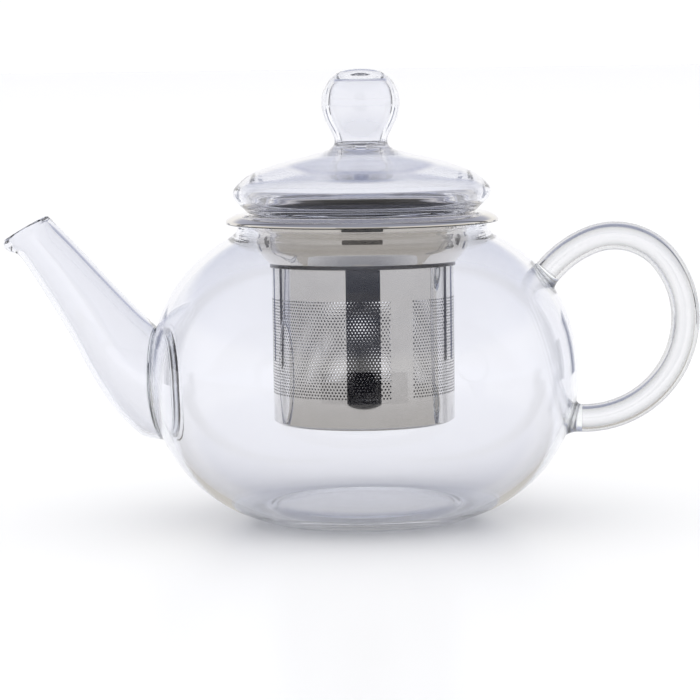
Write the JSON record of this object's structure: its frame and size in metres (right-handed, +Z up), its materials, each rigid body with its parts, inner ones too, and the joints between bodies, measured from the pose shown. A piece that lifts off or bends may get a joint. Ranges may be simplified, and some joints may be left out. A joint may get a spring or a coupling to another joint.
{
  "type": "teapot",
  "caption": "Round blown-glass teapot with a straight spout, a loop handle, a lift-out perforated steel infuser basket and a domed glass lid with a hollow knob.",
  "frame": {"origin": "centre of the foot ring the pot stands on, on the bowl's axis", "axes": "+Z up through the lid's knob, +X towards the handle, -X towards the spout"},
  "size_m": [0.2486, 0.1528, 0.16],
  "materials": {
    "bowl_glass": "clear blown borosilicate",
    "spout_glass": "clear blown borosilicate",
    "handle_glass": "clear drawn tube",
    "weld_glass": "clear fused glass, slightly green",
    "lid_glass": "clear blown borosilicate",
    "knob_glass": "clear blown borosilicate",
    "collar_steel": "spun and polished stainless steel",
    "screen_steel": "finely perforated stainless sheet",
    "base_steel": "pressed stainless sheet"
  },
  "bodies": {
    "pot": {"glass_bowl": "bowl_glass", "spout": "spout_glass", "spout_weld": "weld_glass", "handle_tube": "handle_glass", "upper_handle_weld": "weld_glass", "lower_handle_weld": "weld_glass"},
    "infuser": {"infuser_collar": "collar_steel", "infuser_screen": "screen_steel", "infuser_base": "base_steel"},
    "lid": {"lid_dome": "lid_glass", "lid_weld": "weld_glass", "lid_knob": "knob_glass"}
  },
  "joints": [
    {"name": "infuser_lift", "type": "slide", "parent": "pot", "child": "infuser", "axis": [0, 0, 1], "range_m": [0, 0.1]},
    {"name": "lid_lift", "type": "slide", "parent": "infuser", "child": "lid", "axis": [0, 0, 1], "range_m": [0, 0.06]}
  ]
}
